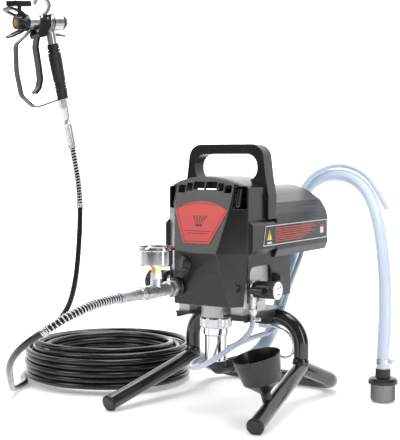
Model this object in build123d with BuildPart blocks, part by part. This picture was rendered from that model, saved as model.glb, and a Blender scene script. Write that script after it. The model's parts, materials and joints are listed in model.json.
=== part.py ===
from build123d import *
from math import acos, cos, pi, radians, sin, sqrt, tan
import os

# Airless paint sprayer on a tube stand, with its hose, gauge and spray gun.
# Modelling frame: origin on the floor under the pump axis, +X to the machine's right,
# -Y to its front and +Z up.  Every piece is written shifted so that the origin is under
# the middle of the object's box.  Millimetres throughout.
FRAME_ORIGIN = (-166.1275, 61.55, 0.0)

# Stand
TUBE_D = 25.4
TUBE_WALL = 1.5
FOOT = (136.0, -111.0, 12.7)
APEX = (107.5, 99.0, 62.0)
REAR_CORNER = (126.3, 222.0, 12.7)
REAR_BEND = 42.0
POST_BEND = 46.0
STRUT_HALF = 59.0
STRUT_SIDE = 26.0
STRUT_Z = 144.0
PLATE_TOP = 160.0

# Housing
WALL = 3.0
HOUSING_FRONT = -25.0
HOUSING_BACK = 58.0
HOUSING_LOW = 182.0
HOUSING_TOP = 384.0
ARCH_DROP = 18.0
HALF_WIDTH = 75.0
BAND_HALF = 83.0
BAND_LOW = 266.0
BAND_HIGH = 306.0
SLEEVE_BACK = 121.0
SLEEVE_TOP = 250.0
MOTOR_BACK = 262.0
CHIN = (-66.0, 262.0)
BROW = (-32.0, 376.0)

# Handle
HANDLE_Y = (30.0, 58.0)
GRIP_TOP = 436.0
GRIP_LOW = 420.0

# Drive
MOTOR_Z = 308.0
CRANK_Z = 258.0
GEAR_MODULE = 1.25
PINION_TEETH = 16
CRANK_TEETH = 64
BACKLASH = 0.12
CRANK_THROW = 10.0
RUN_FIT = 0.05

# Pump, on the Z axis
PUMP_FOOT = 79.5
ROD_D = 12.0
PISTON_D = 15.9

# Side controls
PRIME = (66.0, -3.0, 203.0)
KNOB = (-85.0, -12.0, 206.0)

# Outlet line, running forward from the manifold
OUTLET_X = -42.0
OUTLET_Z = 204.0
TEE_Y = -113.0
HOSE_START_Y = -212.0
HOSE_D = 10.5
GUARD_D = 15.6

# Gauge
GAUGE_Z = 244.0
GAUGE_D = 52.0
BEZEL_D = 60.0

# Hose coil on the floor
COIL_CENTRE = (-295.0, 93.0)
COIL_OUTER = 156.0
COIL_INNER = 110.0
COIL_HEIGHT = 75.0

# Suction set
SUCTION_D = 23.0
RETURN_D = 9.0
STRAINER = (218.0, 189.0)

# Spray gun: its own frame has +X along the spray and +Z up
GUN_ORIGIN = (-435.0, 94.0, 675.0)
GUN_HEADING = (-0.34, -0.94)
GUN_NOSE_DOWN = 5.0
GRIP_TILT = 7.0
GRIP_END = 146.0

# Routes: each starts where the hose leaves its fitting
PUMP_ROUTE = [
    (-42, -212, 204), (-42, -245, 204), (-42.5, -280, 200.5), (-44, -308, 195), (-52, -330, 186),
    (-68, -346, 173), (-92, -354, 157), (-118, -350, 139), (-146, -334, 119), (-174, -308, 98),
    (-205, -272, 77), (-243, -229, 55), (-286, -181, 34), (-328, -131, 17), (-360, -84, 7.5),
    (-379, -40, 5.6),
]
GUN_ROUTE = [
    (-429, 58, 76), (-423, 84, 85), (-415, 104.5, 103), (-408, 118, 127), (-404, 127, 156),
    (-402, 134, 192), (-402.5, 141, 236), (-404, 147.5, 284), (-407, 152, 323), (-411, 153.2, 360),
    (-414.9, 149.5, 397.2), (-417.6, 142.1, 434.4),
]
SUCTION_ROUTE = [
    (8, 44, 66), (13, 72, 69), (20, 103, 76), (26, 134, 96), (28, 161, 128), (24, 187, 162),
    (17, 215, 190), (10, 246, 213), (4, 274, 238), (-3, 287, 268), (-4, 295, 303), (4, 301, 335),
    (20, 308, 362), (43, 316, 378.5), (71, 323, 383), (100, 324, 377), (127, 319, 359),
    (148, 307, 333), (167, 288, 298), (184, 266, 256), (198, 243, 211), (208, 222, 165),
    (215, 203, 124), (218, 189, 88), (218, 189, 56),
]
RETURN_ROUTE = [
    (71, -3, 160), (71, -3, 148), (69.5, -7.5, 136), (65, -15.5, 126), (56, -25, 116), (43, -35, 106),
    (27, -44, 93), (7, -47, 80), (-14, -44, 72), (-30, -31, 70), (-37, -11, 73), (-30, 10, 80), (-12, 27, 88),
    (8, 42, 97), (25, 58, 106), (37, 78, 112), (43, 100, 113.5), (47, 121, 121), (48, 140, 142),
    (47, 158, 165), (44, 179, 186), (38, 208, 203), (31, 240, 220), (25, 270, 241), (20, 276, 268),
    (13, 277, 300), (9, 279, 332), (17, 286, 361), (36, 300, 388), (72, 317, 402.5), (110, 320, 394.5),
    (145, 315, 371), (178, 300, 322),
]

os.makedirs("parts", exist_ok=True)

# --- shared construction -----------------------------------------------------------------


def arc_radii(route):
    """Largest arc at each corner: 0.45 of the shorter run over the tangent of half the turn."""
    radii = []
    for before, here, after in zip(route, route[1:], route[2:]):
        run_in = Vector(*here) - Vector(*before)
        run_out = Vector(*after) - Vector(*here)
        turn = run_in.get_angle(run_out)
        shorter = min(run_in.length, run_out.length)
        radii.append(0.45 * shorter / tan(radians(turn) / 2))
    return radii


def route_plane(route):
    """Plane across the first run of a route."""
    start = Vector(*route[0])
    return Plane(origin=start, z_dir=Vector(*route[1]) - start)


def swept_bar(route, radii, outer, inner=0.0, mode=Mode.ADD):
    """Round bar or tube along straight runs joined by tangent arcs."""
    with BuildLine(mode=Mode.PRIVATE) as path:
        if len(route) > 2:
            FilletPolyline(*route, radius=radii)
        else:
            Line(*route)
    with BuildSketch(route_plane(route), mode=Mode.PRIVATE) as section:
        Circle(outer / 2)
        if inner:
            Circle(inner / 2, mode=Mode.SUBTRACT)
    sweep(section.sketch, path=path.wire(), mode=mode)


def turned(plane, *outline, mode=Mode.ADD):
    """Turned piece: an outline of (radius, height) points about the plane's normal."""
    side = Plane(origin=plane.origin, x_dir=plane.x_dir, z_dir=-plane.y_dir)
    with BuildSketch(side, mode=Mode.PRIVATE) as profile:
        with BuildLine():
            Polyline(*outline, close=True)
        make_face()
    revolve(profile.sketch, axis=Axis(plane.origin, plane.z_dir), mode=mode)


def rod(plane, diameter, low, high, mode=Mode.ADD):
    """Cylinder about the plane's normal, between two heights."""
    with BuildSketch(plane.offset(low), mode=Mode.PRIVATE) as circle:
        Circle(diameter / 2)
    extrude(circle.sketch, amount=high - low, mode=mode)


def hexagon(plane, across_flats, low, high):
    """Hexagonal prism about the plane's normal."""
    with BuildSketch(plane.offset(low), mode=Mode.PRIVATE) as flats:
        RegularPolygon(radius=across_flats / 2, side_count=6, major_radius=False)
    extrude(flats.sketch, amount=high - low)


def block(low, high, mode=Mode.ADD):
    """Box between two opposite corners."""
    size = [b - a for a, b in zip(low, high)]
    centre = [(a + b) / 2 for a, b in zip(low, high)]
    with Locations(tuple(centre)):
        Box(*size, mode=mode)


def flutes(plane, count, circle, diameter, low, high):
    """Grip flutes cut round a knob."""
    with BuildSketch(plane.offset(low), mode=Mode.PRIVATE) as cuts:
        with PolarLocations(circle / 2, count):
            Circle(diameter / 2)
    extrude(cuts.sketch, amount=high - low, mode=Mode.SUBTRACT)


def forward(x, z, y=0.0):
    """Plane whose normal points to the machine's front."""
    return Plane(origin=(x, y, z), x_dir=(1, 0, 0), z_dir=(0, -1, 0))


def backward(x, z, y=0.0):
    """Plane whose normal points to the machine's back."""
    return Plane(origin=(x, y, z), x_dir=(1, 0, 0), z_dir=(0, 1, 0))


gun_forward_flat = Vector(*GUN_HEADING).normalized()
gun_x = gun_forward_flat * cos(radians(GUN_NOSE_DOWN)) - Vector(0, 0, 1) * sin(radians(GUN_NOSE_DOWN))
gun_z = gun_forward_flat * sin(radians(GUN_NOSE_DOWN)) + Vector(0, 0, 1) * cos(radians(GUN_NOSE_DOWN))
GUN = Plane(origin=GUN_ORIGIN, x_dir=gun_x, z_dir=gun_z)
GRIP = Plane(
    origin=(0, 0, 0), x_dir=(0, 1, 0),
    z_dir=(sin(radians(GRIP_TILT)), 0, cos(radians(GRIP_TILT))),
)


def write(piece, name, place=None):
    """Label a finished piece and write it in the object's own frame."""
    shift = Location([-value for value in FRAME_ORIGIN])
    piece.part.label = name
    placed = piece.part.moved(place.location) if place else piece.part
    placed = placed.moved(shift)
    placed.label = name
    export_step(placed, f"parts/{name}.step")


# --- stand ------------------------------------------------------------------------------

foot = Vector(*FOOT)
apex = Vector(*APEX)
rear_corner = Vector(*REAR_CORNER)
leg_axis = (apex - foot).normalized()
leg_plane = Plane(origin=foot, x_dir=(1, 0, 0), z_dir=leg_axis)
rear_start = apex - (rear_corner - apex).normalized() * 20
bore = TUBE_D - 2 * TUBE_WALL


def mirrored(vector):
    return Vector(-vector.X, vector.Y, vector.Z)


with BuildPart() as front_legs:
    leg_length = (apex - foot).length
    with BuildSketch(leg_plane):
        Circle(TUBE_D / 2)
        Circle(bore / 2, mode=Mode.SUBTRACT)
    extrude(amount=leg_length + 20)
    split(bisect_by=Plane(origin=APEX, z_dir=(0, -1, 0)), keep=Keep.TOP)
    mirror(about=Plane.YZ)
write(front_legs, "front_legs")

hoop_route = [rear_start, rear_corner, mirrored(rear_corner), mirrored(rear_start)]
with BuildPart() as rear_hoop:
    swept_bar(hoop_route, [REAR_BEND, REAR_BEND], TUBE_D, bore)
    split(bisect_by=Plane(origin=APEX, z_dir=(0, 1, 0)), keep=Keep.TOP)
write(rear_hoop, "rear_hoop")

with BuildPart() as stand_posts:
    post_route = [(APEX[0], APEX[1], APEX[2]), (APEX[0], APEX[1], STRUT_Z), (STRUT_HALF, APEX[1], STRUT_Z)]
    swept_bar(post_route, [POST_BEND], TUBE_D, bore)
    rod(leg_plane, TUBE_D, 0, leg_length + 20, mode=Mode.SUBTRACT)
    swept_bar(hoop_route[:2], [], TUBE_D, mode=Mode.SUBTRACT)
    mirror(about=Plane.YZ)
write(stand_posts, "stand_posts")

with BuildPart() as cross_strut:
    half = STRUT_SIDE / 2
    block((-STRUT_HALF, APEX[1] - half, STRUT_Z - half), (STRUT_HALF, APEX[1] + half, STRUT_Z + half))
    fillet(cross_strut.edges().filter_by(Axis.X), 3)
    inside = half - 2
    block((-STRUT_HALF, APEX[1] - inside, STRUT_Z - inside),
          (STRUT_HALF, APEX[1] + inside, STRUT_Z + inside), mode=Mode.SUBTRACT)
write(cross_strut, "cross_strut")

PLATE_HALF = 66.0
with BuildPart() as base_plate:
    block((-PLATE_HALF, -26, STRUT_Z + STRUT_SIDE / 2), (PLATE_HALF, 118, PLATE_TOP))
    fillet(base_plate.edges().filter_by(Axis.Z), 6)
    for side in (-1, 1):
        flange = sorted([side * PLATE_HALF, side * (PLATE_HALF - 3)])
        block((flange[0], -18, PLATE_TOP - 11), (flange[1], 84, PLATE_TOP))
    rod(Plane.XY, 58, PLATE_TOP - 20, PLATE_TOP + 1, mode=Mode.SUBTRACT)
    block((-29, -40, PLATE_TOP - 20), (29, 0, PLATE_TOP + 1), mode=Mode.SUBTRACT)
write(base_plate, "base_plate")

with BuildPart() as foot_plugs:
    turned(leg_plane, (0, -5), (11, -5), (13.9, -3.4), (13.9, 0), (bore / 2, 0), (bore / 2, 14),
           (9.5, 14), (9.5, -2), (0, -2))
    split(bisect_by=Plane.XY, keep=Keep.TOP)
    mirror(about=Plane.YZ)
write(foot_plugs, "foot_plugs")

with BuildPart() as pail_hook:
    hook_route = [(40, 99, 128), (52, 112, 124), (66, 118, 119), (79, 120, 108), (84, 121, 90),
                  (78, 122, 74), (62, 122, 68), (50, 122, 76)]
    swept_bar(hook_route, arc_radii(hook_route), 5)
    block((30, 90, 124), (48, 108, 131))
write(pail_hook, "pail_hook")

# --- housing ----------------------------------------------------------------------------


def arch_height(x, inset):
    """Height of the domed top at a distance from the middle."""
    radius = (HALF_WIDTH**2 + ARCH_DROP**2) / (2 * ARCH_DROP)
    return HOUSING_TOP - inset - radius + sqrt(radius**2 - x**2)


def housing_outline(inset, low, plane):
    """Front view of the housing: straight lower sides, a wider band and a domed top."""
    side = HALF_WIDTH - inset
    band = BAND_HALF - inset
    shoulder = 8 + inset
    corner = arch_height(side, inset)
    right = [(side, corner), (side, BAND_HIGH + shoulder), (band, BAND_HIGH - inset),
             (band, BAND_LOW + inset), (side, BAND_LOW - shoulder), (side, low)]
    left = [(-x, z) for x, z in reversed(right)]
    with BuildSketch(plane, mode=Mode.PRIVATE) as outline:
        with BuildLine():
            Polyline(*right, *left)
            ThreePointArc(left[-1], (0, HOUSING_TOP - inset), right[0])
        make_face()
    return outline.sketch


def housing_slab(inset, low, front, back, mode=Mode.ADD):
    """Length of the housing's outline, between two depths."""
    extrude(housing_outline(inset, low, forward(0, 0, back)), amount=back - front, mode=mode)


def lower_sleeve(inset, low, high, front, back, mode=Mode.ADD):
    side = HALF_WIDTH - inset
    block((-side, front, low), (side, back, high), mode=mode)


POCKET_LOW = 332.0
POCKET_HIGH = 368.0
POCKET_FLOOR = -12.0
with BuildPart() as gear_housing:
    housing_slab(0, HOUSING_LOW, HOUSING_FRONT, HOUSING_BACK)
    lower_sleeve(0, HOUSING_LOW, SLEEVE_TOP, HOUSING_BACK, SLEEVE_BACK)
    for side in (-1, 1):
        wide = sorted([side * 54, side * 72])
        block((wide[0], HOUSING_FRONT, POCKET_LOW), (wide[1], POCKET_FLOOR, POCKET_HIGH), mode=Mode.SUBTRACT)
    housing_slab(WALL, HOUSING_LOW - 5, POCKET_FLOOR + WALL, HOUSING_BACK, mode=Mode.SUBTRACT)
    block((-49, HOUSING_FRONT, HOUSING_LOW), (49, 0, HOUSING_TOP - 20), mode=Mode.SUBTRACT)
    block((-72, HOUSING_FRONT, HOUSING_LOW), (72, 0, 250), mode=Mode.SUBTRACT)
    lower_sleeve(WALL, HOUSING_LOW - 5, SLEEVE_TOP - WALL, HOUSING_BACK - 5, SLEEVE_BACK - WALL,
                 mode=Mode.SUBTRACT)
    with BuildSketch(Plane.YZ.offset(40), mode=Mode.PRIVATE) as window:
        with Locations((16, 200)):
            RectangleRounded(72, 78, 12)
    extrude(window.sketch, amount=60, mode=Mode.SUBTRACT)
    rod(Plane(origin=(-60, KNOB[1], KNOB[2]), x_dir=(0, 1, 0), z_dir=(-1, 0, 0)), 28, 0, 40,
        mode=Mode.SUBTRACT)
write(gear_housing, "gear_housing")


def cover_section(z, front, half_front, half_back, inset):
    with BuildSketch(Plane.XY.offset(z), mode=Mode.PRIVATE) as section:
        with BuildLine():
            Polyline((-half_back + inset, HOUSING_FRONT), (-half_front + inset * 0.8, front + inset),
                     (half_front - inset * 0.8, front + inset), (half_back - inset, HOUSING_FRONT),
                     close=True)
        make_face()
    return section.sketch


def cover_solid(inset, mode=Mode.ADD):
    """Wedge-shaped nose: widest at the brow, chin forward, lower half falling back."""
    slope = (BROW[0] - CHIN[0]) / (BROW[1] - CHIN[1])
    low = 176 - inset
    levels = [
        (low, -45.0, 52.0, 66.0), (CHIN[1], CHIN[0], 39.0, HALF_WIDTH),
        (330.0, CHIN[0] + slope * (330 - CHIN[1]), 51.0, HALF_WIDTH),
        (392.0, CHIN[0] + slope * (392 - CHIN[1]), 55.0, HALF_WIDTH),
    ]
    sections = [cover_section(z, front, half, back, inset) for z, front, half, back in levels]
    for lower, upper in zip(sections, sections[1:]):
        loft([lower, upper], ruled=True, mode=mode)


BROW_CHAMFER = 2.6
VENTS = ((-50, -37), (-35, -24), (-22, -1.2), (1.2, 22), (24, 35), (37, 50))
VENT_BELOW_ARCH = (21.0, 8.5)
with BuildPart() as front_cover:
    cover_solid(0)
    extrude(housing_outline(0, 170, forward(0, 0, -10)), amount=80, mode=Mode.INTERSECT)
    brow_edges = front_cover.edges().filter_by(
        lambda edge: edge.center().Z > 366 and edge.center().Y < -27)
    chamfer(brow_edges, BROW_CHAMFER)
    with BuildPart(mode=Mode.PRIVATE) as hollow:
        cover_solid(WALL)
        extrude(housing_outline(WALL, 150, forward(0, 0, -10)), amount=80, mode=Mode.INTERSECT)
    add(hollow.part, mode=Mode.SUBTRACT)
    for left, right in VENTS:
        arch = arch_height((left + right) / 2, 0)
        block((left, -60, arch - VENT_BELOW_ARCH[0]), (right, -20, arch - VENT_BELOW_ARCH[1]),
              mode=Mode.SUBTRACT)
    for side in (-1, 1):
        wide = sorted([side * 54, side * 90])
        block((wide[0], -60, POCKET_LOW), (wide[1], -20, POCKET_HIGH), mode=Mode.SUBTRACT)
    rod(forward(OUTLET_X, OUTLET_Z), 33, 20, 80, mode=Mode.SUBTRACT)
write(front_cover, "front_cover")

slope_angle = (BROW[0] - CHIN[0]) / (BROW[1] - CHIN[1])
badge_plane = Plane(origin=(0, CHIN[0] + slope_angle * 15, CHIN[1] + 15), x_dir=(1, 0, 0),
                    z_dir=(0, -1, slope_angle))
with BuildPart() as front_badge:
    with BuildSketch(badge_plane):
        with BuildLine():
            Polyline((-49.5, 55), (-24.6, 0), (24.6, 0), (49.5, 55))
            ThreePointArc((49.5, 55), (0, 69.5), (-49.5, 55))
        make_face()
    extrude(amount=1.2)
    fillet(front_badge.edges().filter_by(Axis(origin=(0, 0, 0), direction=badge_plane.z_dir)), 2)
write(front_badge, "front_badge")

HAND_LOW = 376.0
HAND_WIDTH = 120.0
HAND_CORNER = 20.0
with BuildPart() as carry_handle:
    with BuildSketch(forward(0, 0, HANDLE_Y[1])):
        with BuildLine():
            Polyline((-81, BAND_HIGH + 8), (-81, 352), (-75, 386), (-69, GRIP_TOP), (69, GRIP_TOP),
                     (75, 386), (81, 352), (81, BAND_HIGH + 8), close=True)
        make_face()
        fillet(vertices().group_by(Axis.Y)[-1], 24)
        with Locations((0, (GRIP_LOW + HAND_LOW) / 2)):
            RectangleRounded(HAND_WIDTH, GRIP_LOW - HAND_LOW, HAND_CORNER, mode=Mode.SUBTRACT)
    extrude(amount=HANDLE_Y[1] - HANDLE_Y[0])
    housing_slab(0, 200, HANDLE_Y[0] - 1, HANDLE_Y[1] + 1, mode=Mode.SUBTRACT)
write(carry_handle, "carry_handle")

MOTOR_STEPS = [(78, 250), (BAND_HALF, 262), (BAND_HALF, 308), (79, 322), (68, 339), (46, 353)]


def motor_outline(inset, plane):
    """Front view of the motor cover, ridged along the top."""
    right = [(x - inset, z + (inset if z < 280 else -inset * 0.6)) for x, z in MOTOR_STEPS]
    left = [(-x, z) for x, z in reversed(right)]
    with BuildSketch(plane, mode=Mode.PRIVATE) as outline:
        with BuildLine():
            Polyline(*left, *right)
            ThreePointArc(right[-1], (0, 366 - inset), left[0])
        make_face()
    return outline.sketch


SCREW_HOLE = 3.6
REAR_SCREWS = [(x, z) for x in (-62, 62) for z in (272, 322)]
POCKET_SCREWS = [(x, 346) for x in (-63, 63)]
INLET_X = -32.0
ROCKER_X = 28.0
PANEL_Z = 292.0

with BuildPart() as motor_cover:
    extrude(motor_outline(0, forward(0, 0, MOTOR_BACK)), amount=MOTOR_BACK - HOUSING_BACK)
    fillet(motor_cover.edges().group_by(Axis.Y)[-1], 10)
    for z in (322, 329, 336):
        for side in (-1, 1):
            x = sorted([side * (90 - (z - 322) * 0.6), side * (79 - (z - 322) * 0.62)])
            block((x[0], 80, z - 1.2), (x[1], 236, z + 1.2), mode=Mode.SUBTRACT)
    extrude(motor_outline(WALL, forward(0, 0, MOTOR_BACK - WALL)),
            amount=MOTOR_BACK - WALL - HOUSING_BACK + 1, mode=Mode.SUBTRACT)
    for row in range(7):
        block((-30 + row * 9, MOTOR_BACK - 5, 308), (-25 + row * 9, MOTOR_BACK + 1, 344), mode=Mode.SUBTRACT)
    block((INLET_X - 13, MOTOR_BACK - 6, PANEL_Z - 10), (INLET_X + 13, MOTOR_BACK + 1, PANEL_Z + 10),
          mode=Mode.SUBTRACT)
    block((ROCKER_X - 13, MOTOR_BACK - 6, PANEL_Z - 10), (ROCKER_X + 13, MOTOR_BACK + 1, PANEL_Z + 10),
          mode=Mode.SUBTRACT)
    for x, z in REAR_SCREWS:
        rod(backward(x, z, MOTOR_BACK - 8), SCREW_HOLE, 0, 10, mode=Mode.SUBTRACT)
write(motor_cover, "motor_cover")

with BuildPart() as power_panel:
    block((INLET_X - 12.9, MOTOR_BACK - 14, PANEL_Z - 9.9), (INLET_X + 12.9, MOTOR_BACK, PANEL_Z + 9.9))
    block((INLET_X - 16, MOTOR_BACK, PANEL_Z - 13), (INLET_X + 16, MOTOR_BACK + 3, PANEL_Z + 13))
    block((INLET_X - 11, MOTOR_BACK - 11, PANEL_Z - 7.5), (INLET_X + 11, MOTOR_BACK + 4, PANEL_Z + 7.5),
          mode=Mode.SUBTRACT)
    for x, z in ((-7, -2), (0, 2), (7, -2)):
        block((INLET_X + x - 1, MOTOR_BACK - 12, PANEL_Z + z - 2.5),
              (INLET_X + x + 1, MOTOR_BACK - 6, PANEL_Z + z + 2.5))
    block((ROCKER_X - 12.9, MOTOR_BACK - 12, PANEL_Z - 9.9), (ROCKER_X + 12.9, MOTOR_BACK, PANEL_Z + 9.9))
    block((ROCKER_X - 15.5, MOTOR_BACK, PANEL_Z - 12.5), (ROCKER_X + 15.5, MOTOR_BACK + 2, PANEL_Z + 12.5))
    block((ROCKER_X - 11, MOTOR_BACK - 9, PANEL_Z - 7.5), (ROCKER_X + 11, MOTOR_BACK + 3, PANEL_Z + 7.5),
          mode=Mode.SUBTRACT)
write(power_panel, "power_panel")

with BuildPart() as power_rocker:
    pivot_y = MOTOR_BACK - 1.5
    with BuildSketch(Plane(origin=(ROCKER_X, pivot_y, PANEL_Z - 7.1), x_dir=(1, 0, 0), z_dir=(0, 0, 1))):
        with BuildLine():
            Polyline((-9.6, -2.2), (-9.6, 3.4), (0, 1.8), (9.6, 5.6), (9.6, -0.4), (0, -4.5), close=True)
        make_face()
    extrude(amount=14.2)
    rod(Plane(origin=(ROCKER_X, pivot_y, PANEL_Z), z_dir=(0, 0, 1)), 3, -7.4, 7.4)
write(power_rocker, "power_rocker")

with BuildPart() as cover_screws:
    for x, z in REAR_SCREWS:
        turned(backward(x, z, MOTOR_BACK), (0, -3), (SCREW_HOLE / 2, -3), (SCREW_HOLE / 2, 0), (3.6, 0),
               (3.2, 2), (2.0, 2.6), (2.0, 1.2), (0, 1.2))
    for x, z in POCKET_SCREWS:
        turned(forward(x, z, POCKET_FLOOR), (0, 0), (5.2, 0), (5.2, 2), (3.4, 2.8), (3.4, 1.2), (0, 1.2))
write(cover_screws, "cover_screws")

# --- drive ------------------------------------------------------------------------------


def involute(angle):
    return tan(angle) - angle


def gear_outline(teeth, phase, plane):
    """Spur gear with 20 degree involute flanks and a little backlash."""
    pressure = radians(20)
    pitch = teeth * GEAR_MODULE / 2
    base = pitch * cos(pressure)
    tip = pitch + GEAR_MODULE * 0.95
    root = pitch - GEAR_MODULE * 1.25
    half_tooth = pi / (2 * teeth) - BACKLASH / (2 * pitch)
    steps = 4
    points = []
    for tooth in range(teeth):
        middle = 2 * pi * tooth / teeth + phase
        flank = []
        for step in range(steps + 1):
            radius = max(base, root) + (tip - max(base, root)) * step / steps
            spread = half_tooth + involute(pressure) - involute(acos(min(1.0, base / radius)))
            flank.append((radius, spread))
        flank = [(root, flank[0][1] + 0.1 / pitch)] + flank
        points += [(r * cos(middle - s), r * sin(middle - s)) for r, s in flank]
        points += [(r * cos(middle + s), r * sin(middle + s)) for r, s in reversed(flank)]
    with BuildSketch(plane, mode=Mode.PRIVATE) as outline:
        with BuildLine():
            Polyline(*points, close=True)
        make_face()
    return outline.sketch


with BuildPart() as gearbox_casting:
    block((-68, 26, 178), (68, HOUSING_BACK - 1, 330))
    block((-68, -8, 213), (68, 26, 304))
    fillet(gearbox_casting.edges().filter_by(Axis.Y), 6)
    block((-47, -19, 213), (47, -8, 304))
    block((-69, 40, 177), (69, 80, 206), mode=Mode.SUBTRACT)
    for side in (-1, 1):
        ends = sorted([side * 38, side * 62])
        block((ends[0], 28, PLATE_TOP), (ends[1], 57, 206.5))
    rod(backward(0, CRANK_Z), 87, 30, 50, mode=Mode.SUBTRACT)
    rod(backward(0, MOTOR_Z), 27, 30, 50, mode=Mode.SUBTRACT)
    block((-25, -14, 222), (25, 31, 300), mode=Mode.SUBTRACT)
    rod(backward(0, CRANK_Z), 12 + 2 * RUN_FIT, 49, 80, mode=Mode.SUBTRACT)
    rod(backward(0, MOTOR_Z), 10 + 2 * RUN_FIT, 49, 80, mode=Mode.SUBTRACT)
    rod(Plane.XY, ROD_D + 2 * RUN_FIT + 0.1, 200, 230, mode=Mode.SUBTRACT)
    rod(Plane(origin=KNOB, z_dir=(1, 0, 0)), 27, -1, 24, mode=Mode.SUBTRACT)
    rod(Plane(origin=PRIME, z_dir=(1, 0, 0)), 29, -1, 10, mode=Mode.SUBTRACT)
write(gearbox_casting, "gearbox_casting")

with BuildPart() as crank_gear:
    extrude(gear_outline(CRANK_TEETH, 0, backward(0, CRANK_Z, 36)), amount=10)
    rod(backward(0, CRANK_Z), 36, 28, 36)
    rod(backward(0, CRANK_Z), 12, 46, 56)
    rod(backward(CRANK_THROW, CRANK_Z), 10, 10, 28)
write(crank_gear, "crank_gear")

MOTOR_AXIS = backward(0, MOTOR_Z)
with BuildPart() as armature:
    extrude(gear_outline(PINION_TEETH, pi / PINION_TEETH, backward(0, MOTOR_Z, 35)), amount=12)
    turned(MOTOR_AXIS, (0, 47), (5, 47), (5, 84), (12, 84), (12, 90), (33.4, 90), (33.4, 160), (12, 160),
           (12, 168), (15, 168), (15, 182), (5, 182), (5, 232), (0, 232))
write(armature, "armature")

with BuildPart() as motor_fan:
    turned(MOTOR_AXIS, (5, 214), (14, 214), (14, 226), (5, 226))
    with BuildSketch(backward(0, MOTOR_Z, 215)):
        with PolarLocations(28, 9):
            Rectangle(32, 3)
    extrude(amount=10)
write(motor_fan, "motor_fan")

with BuildPart() as stator:
    turned(MOTOR_AXIS, (11, HOUSING_BACK), (46, HOUSING_BACK), (46, 76), (48, 76), (48, 204), (11, 204),
           (11, 196), (44, 196), (44, 164), (34, 164), (34, 86), (44, 86), (44, 66), (11, 66))
write(stator, "stator")

with BuildPart() as motor_bearings:
    turned(MOTOR_AXIS, (5 + RUN_FIT, 58.5), (11, 58.5), (11, 65.5), (5 + RUN_FIT, 65.5))
    turned(MOTOR_AXIS, (5 + RUN_FIT, 196.5), (11, 196.5), (11, 203.5), (5 + RUN_FIT, 203.5))
write(motor_bearings, "motor_bearings")

# --- pump -------------------------------------------------------------------------------

with BuildPart() as pump_manifold:
    block((-62, -22, 172), (PRIME[0], 22, 212))
    fillet(pump_manifold.edges().filter_by(Axis.Z), 5)
    for side in (-1, 1):
        ends = sorted([side * 40, side * 60])
        block((ends[0], -20, PLATE_TOP), (ends[1], 4, 173))
    rod(Plane.XY, 49, 153, 173)
    rod(forward(OUTLET_X, OUTLET_Z), 31, 20, 36)
    rod(Plane.XY, 30.2, 140, 220, mode=Mode.SUBTRACT)
    rod(Plane(origin=PRIME, x_dir=(0, 1, 0), z_dir=(-1, 0, 0)), 16, -1, 22, mode=Mode.SUBTRACT)
    rod(forward(OUTLET_X, OUTLET_Z), 16, 14, 40, mode=Mode.SUBTRACT)
write(pump_manifold, "pump_manifold")

with BuildPart() as pump_collar:
    turned(Plane.XY, (15.1, 135), (24.5, 135), (26.5, 137), (26.5, 150.5), (25, 152.6), (15.1, 152.6))
    flutes(Plane.XY, 8, 54, 6, 133, 154)
write(pump_collar, "pump_collar")

with BuildPart() as pump_cylinder:
    turned(Plane.XY, (8, PUMP_FOOT), (17.5, PUMP_FOOT), (18.5, 81), (18.5, 122), (20, 123), (21, 124),
           (21, 134.9), (15, 134.9), (15, 206), (ROD_D / 2 + 0.06, 206), (ROD_D / 2 + 0.06, 182), (8, 180))
write(pump_cylinder, "pump_cylinder")

with BuildPart() as piston_rod:
    rod(Plane.XY, PISTON_D, 112, 124)
    rod(Plane.XY, ROD_D, 124, 249)
    block((-20, -8, 247), (20, 8, 269))
    fillet(piston_rod.edges().filter_by(Axis.Y), 4)
    with BuildSketch(forward(0, CRANK_Z, 10)):
        SlotOverall(34, 10.6)
    extrude(amount=20, mode=Mode.SUBTRACT)
write(piston_rod, "piston_rod")

elbow_end = Vector(*SUCTION_ROUTE[0])
elbow_run = (Vector(*SUCTION_ROUTE[1]) - elbow_end).normalized()
with BuildPart() as inlet_elbow:
    turned(Plane.XY, (0, 68), (17, 70), (17, PUMP_FOOT), (7.9, PUMP_FOOT), (7.9, 84), (0, 84))
    swept_bar([(0, 0, 76), (0, 0, 66), elbow_end - elbow_run * 6], [9.5], 23)
    rod(Plane(origin=elbow_end, z_dir=elbow_run), 26, -12, 0)
    rod(Plane.XY, 8, 74, 90, mode=Mode.SUBTRACT)
write(inlet_elbow, "inlet_elbow")

with BuildPart() as inlet_ball:
    with Locations((0, 0, 84 + sqrt(36 - 16) + RUN_FIT)):
        Sphere(6)
write(inlet_ball, "inlet_ball")

# --- controls ---------------------------------------------------------------------------

PRIME_AXIS = Plane(origin=PRIME, x_dir=(0, 1, 0), z_dir=(1, 0, 0))
DRAIN = Vector(*RETURN_ROUTE[0])
with BuildPart() as prime_valve:
    turned(PRIME_AXIS, (4.05, -16), (7.9, -16), (7.9, 0), (13.5, 0), (13.5, 7), (11, 9), (4.05, 9))
    with Locations((DRAIN.X, DRAIN.Y, 176)):
        Cylinder(4.3, 32)
    with Locations((DRAIN.X, DRAIN.Y, 166)):
        Cylinder(7, 8)
    rod(PRIME_AXIS, 8.1, -20, 12, mode=Mode.SUBTRACT)
write(prime_valve, "prime_valve")

with BuildPart() as prime_knob:
    rod(PRIME_AXIS, 8, -12, 12)
    turned(PRIME_AXIS, (0, 9.4), (12.5, 9.4), (14, 11), (14, 43), (12.8, 44.6), (12.8, 49), (0, 49))
    with BuildSketch(PRIME_AXIS.offset(12)):
        SlotOverall(52, 11)
    extrude(amount=22)
    flutes(PRIME_AXIS, 14, 29.4, 3, 34, 44)
write(prime_knob, "prime_knob")

with BuildPart() as prime_knob_cap:
    turned(PRIME_AXIS, (0, 49), (14.2, 49), (14.2, 51), (13, 52), (0, 52.6))
write(prime_knob_cap, "prime_knob_cap")

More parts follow.
